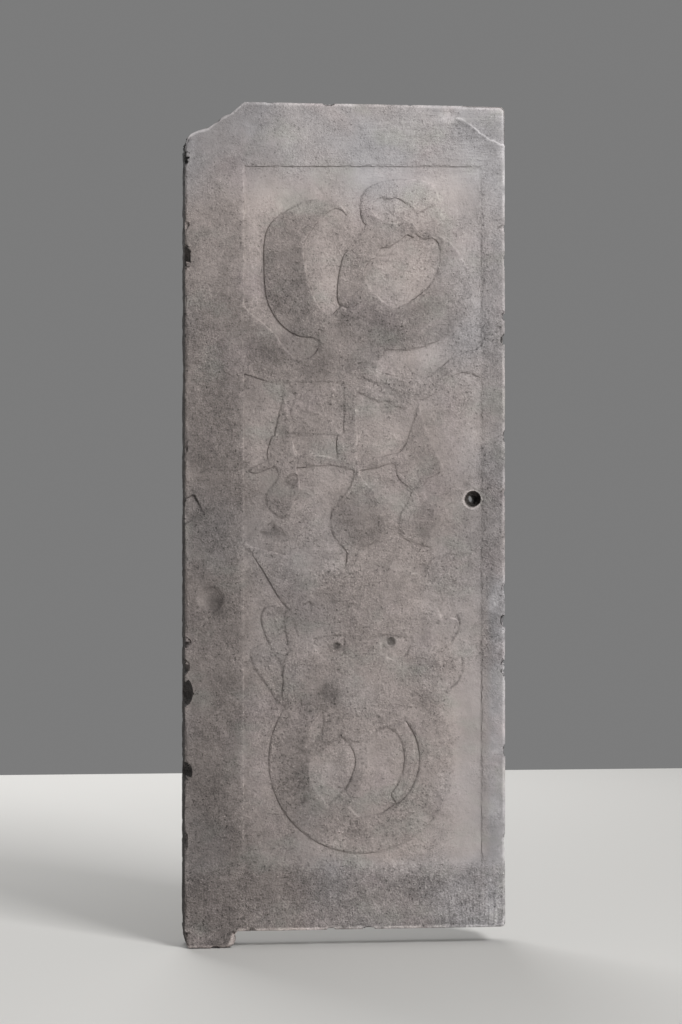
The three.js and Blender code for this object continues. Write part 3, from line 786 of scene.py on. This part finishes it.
# How much darker the figures are than the ground: x, z, how far across, how far up, and the share.
figureShares = [
    (0, 430, 300, 190, 1.0), (100, 590, 110, 46, 0.2), (70, 500, 70, 40, 0.6), (190, 470, 50, 60, 0.65),
    (0, 170, 220, 76, 0.35), (-125, 170, 30, 50, 0.7), (150, 110, 34, 90, 0.75), (0, 20, 220, 90, 0.45),
    (0, -220, 300, 130, 0.25), (-50, -450, 80, 150, 0.95), (130, -470, 90, 160, 0.5),
]


def toneAt(places, normals, onFront, raised):
    # The tone of the face, darker on its border and its figures, and of the sides and the back, with painted
    # shade on the left side and its notches.
    x, y, z = places.T
    tone = tones["middle"] + tones["across"] * x / right + tones["upwards"] * ease(z, 300, 680)
    blur = 44 - 36 * ease(z, 420, 600)
    uneven = 9 * unevenness(30, places, 26, 2)
    inside = ease(x + uneven, field["left"] - 0.6 * blur, field["left"] + blur)
    inside *= 1 - ease(x, field["right"] - 2, field["right"] + 2)
    inside *= ease(z + uneven, field["bottom"] - 25, field["bottom"] + 25)
    inside *= 1 - ease(z, field["top"] - 1, field["top"] + 1)
    tone += (1 - inside) * tones["border"] * (1 - ease(z, 420, 640))
    tone += (1 - ease(x + uneven, -222, -164)) * tones["leftBorder"] * (1 - 0.4 * ease(z, 300, 640))
    share = np.zeros(len(places))
    for figureX, figureZ, across, up, value in figureShares:
        reach = np.hypot((x - figureX) / across, (z - figureZ) / up)
        share += (value - share) * (1 - ease(reach, 0.8, 1.2))
    share *= 0.85 + 0.4 * unevenness(29, places, 34, 3)
    tone += inside * raised * tones["figure"] * share
    for patchX, patchZ, across, up, change in tonePatches:
        reach = np.hypot((x - patchX) / across, (z - patchZ) / up)
        tone += change * (1 - ease(reach, 0.35, 1.3))
    tone += 4 * unevenness(31, places, 60, 3) + 2.5 * unevenness(32, places, 18, 2)
    side = np.where(normals[:, 1] > 0.5, tones["back"], tones["side"])
    # The left side and the notches along the left edge face away from the light, and get painted shade.
    shaded = (x < left + 22) & (y < front + 75) & (normals[:, 1] < 0.5) | (normals[:, 0] < -0.7)
    return np.where(onFront, tone, np.where(shaded, tones["leftSideShade"], side))


def litSide(surface, spots, chosen):
    # How far each step near the chosen spots faces up and to the right, towards the light: there it gets a
    # painted highlight, and where it faces away, painted shade.
    lit = np.zeros(len(spots))
    near = spots[chosen]
    across = castLevels(surface, near + [3, 0]) - castLevels(surface, near - [3, 0])
    upward = castLevels(surface, near + [0, 3]) - castLevels(surface, near - [0, 3])
    lit[chosen] = np.clip((0.85 * across + 0.5 * upward) / 3, -1, 1)
    return lit


def linesTone(surface, places, distance, sunk, worn):
    # What the carved lines add: their worn rims are pale, painted shade darkens their feet and the sides that
    # face away from the light, and a painted highlight brightens the sides that face it.
    x, y, z = places.T
    spots = places[:, [0, 2]]
    crisp = 1 - lossAt(spots)
    closeness = np.clip(1 - distance / 4, 0, 1)
    # Painted shade at the feet of the steps, and the paleness of wear on their rims.
    foot = np.where(sunk > 0.2, closeness, 0) * crisp
    rim = np.where(sunk <= 0.2, closeness, 0) * crisp
    facing = litSide(surface, spots, distance < 6)
    paintedShade = np.clip(-facing, 0, 1)
    broken = 0.25 + 0.75 * ease(unevenness(38, places, 7, 2), -0.5, 0.4)
    beside = np.exp(-(distance / 2) ** 2) * crisp * broken
    fieldLine = np.exp(-((x - field["left"] + 2) / 2.5) ** 2) * (np.abs(z) < field["top"])
    rightLine = np.exp(-((x - field["right"] + 2) / 2.5) ** 2)
    fieldLine += rightLine * ease(z, 250, 330) * (z < field["top"] - 5)
    tone = tones["foot"] * foot + tones["rim"] * rim + tones["fieldLine"] * fieldLine * worn * broken
    # Painted highlight where a step faces the light, and painted shade where it faces away from it.
    return tone + beside * (tones["crest"] * np.clip(facing, 0, 1) + tones["paintedShade"] * 4 * paintedShade * (1 - paintedShade))


def damageTone(places, worn):
    # What the painted shade in the scratches, the small chips, the painted highlight on the ridge of the
    # flake and the worn left arris add.
    x, y, z = places.T
    spots = places[:, [0, 2]]
    # Painted shade along the scratches and cuts.
    scratchShade = np.zeros(len(places))
    for path, width, depth in scratches:
        scratchShade = np.maximum(scratchShade, depth * np.exp(-(alongScratch(spots, path) / width * 1.8) ** 2))
    chipped = ease(unevenness(36, places, 9, 2), 0.35, 0.6) * ease(x, 256, 272) * ease(-z, 110, 150)
    chipped += ease(unevenness(37, places, 9, 2), 0.3, 0.6) * ease(-x, 268, 280) * ease(z, 630, 650)
    # A painted highlight along the flake's step, which faces the light, and a darker band just below it.
    fromFlake = aboveFlake(spots)
    onFlake = np.exp(-((fromFlake - 0.6) / 1.4) ** 2) * (0.6 + 0.4 * worn)
    onFlake -= 0.35 * np.exp(-((fromFlake + 2.8) / 1.4) ** 2) * ease(unevenness(39, places, 9, 2), -0.2, 0.3)
    leftArris = np.clip(1 - (x - left - 3) / 9, 0, 1) * worn
    tone = tones["paintedScratchShade"] * scratchShade + tones["chip"] * chipped
    return tone + tones["flakeLine"] * onFlake + tones["leftArris"] * leftArris


def warmthAt(places):
    # 1 where the stone is brownish, and 0 where it is grey, as it is along the top and the right.
    x, y, z = places.T
    warmth = 1 - 0.6 * ease(x, 100, 290) - 0.9 * ease(z, 500, 680)
    warmth -= 0.5 * ease(-z, 600, 640) * ease(x, -100, -20)
    warmth -= 0.7 * ease(x, 255, 275) * ease(-z, 90, 160)
    return np.clip(warmth + 0.25 * unevenness(34, places, 110, 3), 0, 1)


def peckedAt(places, sunk):
    # How strongly the surface is pecked: most on the lower border, and least on the field at the lower right.
    x, y, z = places.T
    lowBorder = ease(-z, 615, 650)
    smooth = ease(x, 170, 230) * ease(-z, 250, 340) * (1 - lowBorder)
    pecked = 0.8 + 0.25 * (1 - sunk) + 0.38 * lowBorder - 0.75 * smooth - 0.4 * ease(z, 520, 620)
    return np.clip(pecked + 0.28 * unevenness(35, places, 45, 2), 0.15, 1.6)


def outlineDistance(places):
    # How far the face's places lie from its outline. The left edge is left out, because it is painted apart.
    x, y, z = places.T
    under = np.where(x < left + block["stubWidth"], bottom - block["stubDrop"], bottom)
    outer = np.minimum(np.minimum(right - x, breakHeight(x) - z), z - under)
    outer = np.where(z < bottom, np.minimum(outer, depthUnder(places, "stubEnd")), outer)
    return np.clip(outer, -5, 40)


def markStone(piece, surface, samples, tree):
    # What the stone's finish needs to know of each place is kept as attributes.
    places = readPlaces(piece)
    normals = readNormals(piece)
    x, y, z = places.T
    onFront = (-normals[:, 1] > 0.3) & (y - front < 15)
    onFront |= (y - front < 6) & (x > left + 10)
    spots = places[:, [0, 2]]
    face = np.flatnonzero(onFront)
    distance = np.full(len(places), 99.0)
    distance[face], _ = nearestLine(tree, samples, spots[face])
    levels = np.full(len(places), front)
    levels[face] = castLevels(surface, spots[face])
    levels = np.where(levels > front + carving["deepest"], front, levels)
    sunk = np.clip((levels - front) / carving["groundDepth"], 0, 1)
    spreadSteps(surface, spots, levels, distance)
    raised = 1 - np.clip((levels - front) / carving["groundDepth"], 0, 1)
    worn = 0.35 + 0.65 * ease(unevenness(33, places, 24, 3), -0.7, 0.5)
    tone = toneAt(places, normals, onFront, raised)
    tone += (linesTone(surface, places, distance, sunk, worn) + damageTone(places, worn)) * onFront
    marks = {
        "tone": tone / 255,
        "warmth": warmthAt(places),
        "pecked": np.where(onFront, peckedAt(places, sunk), 1.2),
        # Paler still along the bottom and the stub: wear, and a painted highlight on edges that face down
        # into shade.
        "worn": onFront * (1 + 0.8 * ease(-z, 690, 745)),
        "edge": np.where(onFront, outlineDistance(places), 40),
        "strokes": onFront * ease(z, 560, 680) * ease(x, -60, 120),
        "scores": onFront * 2 * ease(x, 150, 180) * ease(-z, 660, 700),
    }
    for name, values in marks.items():
        attribute = piece.data.attributes.new(name, "FLOAT", "POINT")
        attribute.data.foreach_set("value", values.astype(np.float32))


def makeLeaf():
    surface, samples, tree = readSolid()
    print("carved lines read:", len(samples))
    piece = makeBlock()
    shapeCorner(piece)
    divideFinely(piece, tree, samples)
    shapeHole(piece)
    print("block divided:", len(piece.data.polygons), "faces")
    carveFace(piece, surface, samples, tree)
    print("face carved")
    cutToSolid(piece, surface)
    wearArrises(piece)
    roughen(piece, surface)
    print("edges worn")
    lighten(piece)
    markStone(piece, surface, samples, tree)
    return piece


class Wire:
    # An output of a node. Sums and products of wires and numbers add Math nodes.
    def __init__(self, tree, socket=None):
        self.tree = tree
        self.socket = socket

    def add(self, kind, settings=None, inputs=None, output=0):
        node = self.tree.nodes.new(kind)
        node.location = (220 * (len(self.tree.nodes) % 12), -260 * (len(self.tree.nodes) // 12))
        for name, value in (settings or {}).items():
            setattr(node, name, value)
        for name, value in (inputs or {}).items():
            if isinstance(value, Wire):
                self.tree.links.new(value.socket, node.inputs[name])
            else:
                node.inputs[name].default_value = value
        return Wire(self.tree, node.outputs[output]) if len(node.outputs) else Wire(self.tree)

    def maths(self, operation, *values):
        return self.add("ShaderNodeMath", {"operation": operation}, dict(enumerate(values)))

    def __add__(self, other):
        return self.maths("ADD", self, other)

    def __sub__(self, other):
        return self.maths("SUBTRACT", self, other)

    def __rsub__(self, other):
        return self.maths("SUBTRACT", other, self)

    def __mul__(self, other):
        return self.maths("MULTIPLY", self, other)

    __radd__ = __add__
    __rmul__ = __mul__

    def blend(self, colour, other, share):
        return self.add("ShaderNodeMix", {"data_type": "RGBA"}, {0: share, 6: colour, 7: other}, output=2)

    def between(self, low, high):
        return self.add("ShaderNodeMapRange", {"interpolation_type": "SMOOTHSTEP"},
                        {"Value": self, "From Min": low, "From Max": high})


# The stone's colours, as shares of its tone, and how strongly each kind of mark shows.
finish = {
    "warm": (1.15, 1.0, 0.94, 1),
    "cool": (1.045, 1.0, 1.015, 1),
    "pink": (1.16, 0.99, 0.98, 1),
    "green": (1.03, 1.02, 0.93, 1),
    "paleness": 0.83,
    "roughness": 0.9,
    "grain": 0.30,
    "dents": 0.12,
    "pits": 0.11,
    "specks": 0.10,
    "mottle": 0.22,
    "patches": 0.13,
    "combing": 0.16,
    "lip": 0.12,
    "arris": 0.15,
    "lipMiddle": (0.2325, 0, 0.0305),
    "darkest": 0.06,
    "shine": 0.3,
    "bump": 0.8,
    "bumpDepth": 0.005,
}


def stoneFinish():
    material = bpy.data.materials.new("weathered_limestone")
    material.use_nodes = True
    tree = material.node_tree
    tree.nodes.clear()
    start = Wire(tree)
    spot = start.add("ShaderNodeTexCoord", output=3)

    def noise(scale, detail=4, rough=0.55, stretch=(1, 1, 1)):
        place = start.add("ShaderNodeMapping", {}, {"Vector": spot, "Scale": stretch})
        return start.add("ShaderNodeTexNoise", {}, {
            "Vector": place, "Scale": scale, "Detail": detail, "Roughness": rough})

    def mark(name):
        return start.add("ShaderNodeAttribute", {"attribute_name": name}, {}, output=2)

    pecked = mark("pecked")
    patches = noise(14, 5, 0.6)
    mottle = noise(60, 5, 0.65)
    dents = noise(135, 3, 0.6)
    grain = noise(300, 3, 0.7)
    pits = noise(210, 2, 0.5).between(0.60, 0.72)
    specks = noise(260, 2, 0.5, (1, 1, 1.3)).between(0.62, 0.74)
    combed = noise(190, 3, 0.6, (0.1, 1, 1)) * mark("strokes")
    combed = combed + noise(150, 3, 0.6, (1, 1, 0.12)) * mark("scores")

    # Tone is worked out as the eye sees it, and then turned into the share of light that is given back.
    tone = mark("tone") + (patches - 0.5) * finish["patches"]
    tone = tone + (mottle - 0.5) * pecked * finish["mottle"] + (grain - 0.5) * pecked * finish["grain"]
    tone = tone - pits * pecked * finish["pits"] + specks * pecked * finish["specks"]
    tone = tone + (dents - 0.5) * pecked * finish["dents"]
    tone = tone + (combed - (mark("strokes") + mark("scores")) * 0.5) * finish["combing"]
    # The worn lip around the pull hole, and the pale worn arrises, which along the bottom and the stub also
    # carry a painted highlight.
    flat = start.add("ShaderNodeVectorMath", {"operation": "MULTIPLY"}, {0: spot, 1: (1, 0, 1)})
    outward = start.add("ShaderNodeVectorMath", {"operation": "DISTANCE"}, {
        0: flat, 1: finish["lipMiddle"]}, output=1)
    lip = outward.between(0.0205, 0.0165) * outward.between(0.012, 0.0145) * mark("worn")
    tone = tone + lip * (patches * 1.4 + 0.3) * finish["lip"]
    arris = mark("edge").between(7.5, 2.5) * noise(34, 4, 0.6).between(0.25, 0.6) * mark("worn")
    tone = tone + arris * finish["arris"]
    given = start.maths("POWER", start.maths("MAXIMUM", tone, finish["darkest"]), 2.2) * finish["paleness"]
    hue = start.blend(finish["cool"], finish["warm"], mark("warmth"))
    hue = start.blend(hue, finish["pink"], noise(9, 3).between(0.5, 0.75) * 0.5)
    hue = start.blend(hue, finish["green"], noise(12, 3, 0.5, (1, 1, 1.4)).between(0.5, 0.75) * 0.5)
    colour = start.add("ShaderNodeVectorMath", {"operation": "SCALE"}, {0: hue, "Scale": given})

    height = mottle * 0.5 + (grain * 0.8 + dents * 1.1 - pits * 0.3) * pecked + patches * 0.5 + combed * 0.7
    bump = start.add("ShaderNodeBump", {}, {
        "Strength": finish["bump"], "Distance": finish["bumpDepth"], "Height": height})
    surface = start.add("ShaderNodeBsdfPrincipled", {}, {
        "Base Color": colour, "Roughness": (mottle - 0.5) * 0.2 + finish["roughness"], "Normal": bump,
        "Specular IOR Level": finish["shine"]})
    start.add("ShaderNodeOutputMaterial", {}, {"Surface": surface})
    return material


def plainFinish(name, colour, roughness):
    material = bpy.data.materials.new(name)
    material.use_nodes = True
    start = Wire(material.node_tree)
    material.node_tree.nodes.clear()
    surface = start.add("ShaderNodeBsdfPrincipled", {}, {"Base Color": (*colour, 1), "Roughness": roughness})
    start.add("ShaderNodeOutputMaterial", {}, {"Surface": surface})
    return material


# The floor, the lights and the camera, in metres and degrees.
studio = {
    "floorSize": 7,
    "floorColour": (0.60, 0.59, 0.57),
    "worldColour": (0.80, 0.80, 0.80),
    "worldStrength": 0.25,
    "lights": {  # place, size, power
        "key": ((3.0, -5.6, 3.7), 2.3, 480),
        "fill": ((0.3, -6.4, 0.2), 3.0, 95),
        "back": ((-0.8, 4.4, 2.6), 3.0, 170),
    },
    "aim": (-0.0094, -0.1, 0.0073),
    "distance": 4.875,
    "azimuth": -6.58,
    "elevation": -0.53,
    "lens": 94.4,
}


def makeStudio():
    bpy.ops.object.select_all(action="DESELECT")
    bpy.ops.mesh.primitive_plane_add(size=studio["floorSize"], location=(0, 0, solidLow.z - 0.0005))
    floor = bpy.context.object
    floor.name = "floor"
    bpy.ops.object.transform_apply(location=True)
    floor.data.materials.append(plainFinish("pale_floor", studio["floorColour"], 0.9))

    for name, (place, size, power) in studio["lights"].items():
        bpy.ops.object.light_add(type="AREA", location=place)
        light = bpy.context.object
        light.name = name + "_light"
        light.data.size = size
        light.data.energy = power
        light.rotation_euler = (-Vector(place)).to_track_quat("-Z", "Y").to_euler()

    world = bpy.data.worlds.new("studio_world")
    world.use_nodes = True
    world.node_tree.nodes.clear()
    start = Wire(world.node_tree)
    glow = start.add("ShaderNodeBackground", {}, {
        "Color": (*studio["worldColour"], 1), "Strength": studio["worldStrength"]})
    start.add("ShaderNodeOutputWorld", {}, {"Surface": glow})
    bpy.context.scene.world = world
    bpy.context.scene.view_settings.view_transform = "Standard"

    turn = math.radians(studio["azimuth"])
    rise = math.radians(studio["elevation"])
    level = math.cos(rise)
    away = Vector((math.sin(turn) * level, -math.cos(turn) * level, math.sin(rise))) * studio["distance"]
    bpy.ops.object.camera_add(location=Vector(studio["aim"]) + away)
    camera = bpy.context.object
    camera.rotation_euler = (-away).to_track_quat("-Z", "Y").to_euler()
    camera.data.lens = studio["lens"]
    camera.data.sensor_width = 36
    bpy.context.scene.camera = camera


makeStudio()
print("studio ready")
leaf = makeLeaf()
leaf.data.materials.clear()
leaf.data.materials.append(stoneFinish())
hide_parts("stone_panel")
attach(leaf, "root")
print("stone finished")
